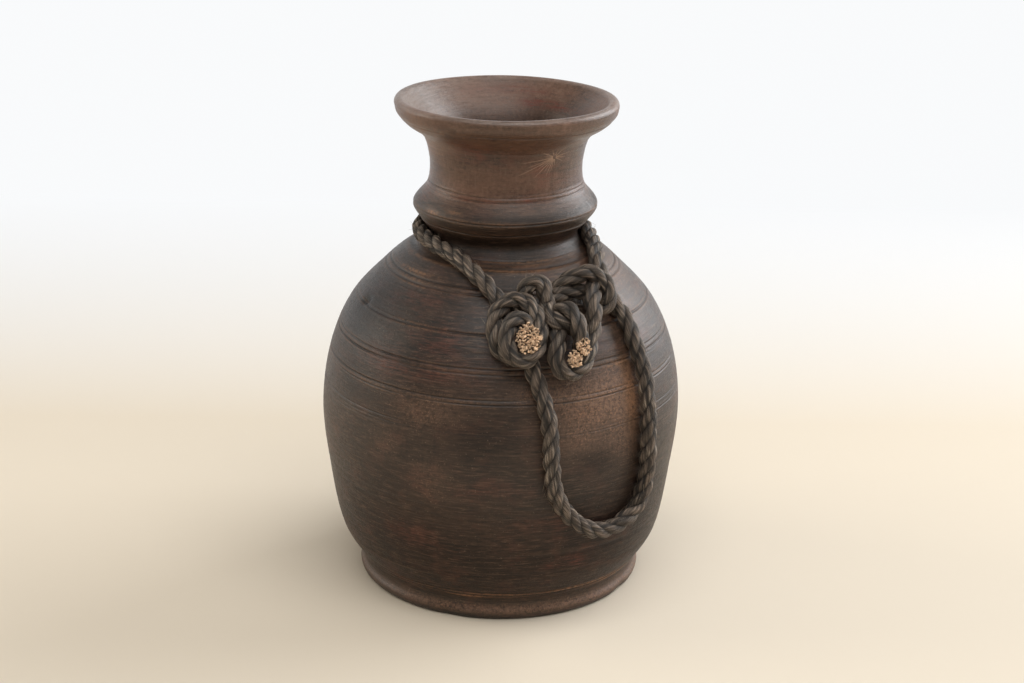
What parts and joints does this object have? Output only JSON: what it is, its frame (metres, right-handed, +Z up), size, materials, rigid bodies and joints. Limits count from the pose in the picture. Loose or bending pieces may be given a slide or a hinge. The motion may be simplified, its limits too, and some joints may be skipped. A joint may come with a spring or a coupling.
{
  "type": "wooden jar",
  "caption": "Round-bellied jar turned from dark wood, with a flared mouth, a collared neck and a knotted rope sling that hangs in a carrying loop.",
  "frame": {"origin": "centre of the foot on the surface that the jar stands on", "axes": "+Z up along the turning axis, -Y to the front, where the rope is tied"},
  "size_m": [0.23, 0.2374, 0.313],
  "materials": {
    "smoked_wood": "dark oiled and smoked hardwood, satin, with lathe lines and worn reddish edges",
    "old_rope": "matt three-strand laid fibre rope, darkened with age, with stray hairs",
    "cut_fibre": "pale frayed fibre at the rope's cut ends"
  },
  "bodies": {
    "jar": {"jar_body": "smoked_wood"},
    "neck_sling": {"neck_rope": "old_rope"},
    "knot_tie": {"left_knot": "old_rope", "left_cut_end": "cut_fibre", "right_knot": "old_rope", "right_cut_end": "cut_fibre", "cross_strand": "old_rope", "hitch_turn": "old_rope", "right_strand": "old_rope"},
    "loop": {"carry_loop": "old_rope"}
  },
  "joints": [
    {"name": "sling_turn", "type": "hinge", "parent": "jar", "child": "neck_sling", "pos_m": [0, 0, 0.23], "axis": [0, 0, 1], "continuous": true},
    {"name": "knot_lift", "type": "hinge", "parent": "neck_sling", "child": "knot_tie", "pos_m": [-0.00592, -0.08062, 0.20923], "axis": [-0.916, -0.4012, 0], "range_deg": [0, 75]},
    {"name": "loop_lift", "type": "hinge", "parent": "knot_tie", "child": "loop", "pos_m": [0.01779, -0.10634, 0.17524], "axis": [-0.8691, -0.4947, 0], "range_deg": [0, 85]}
  ]
}
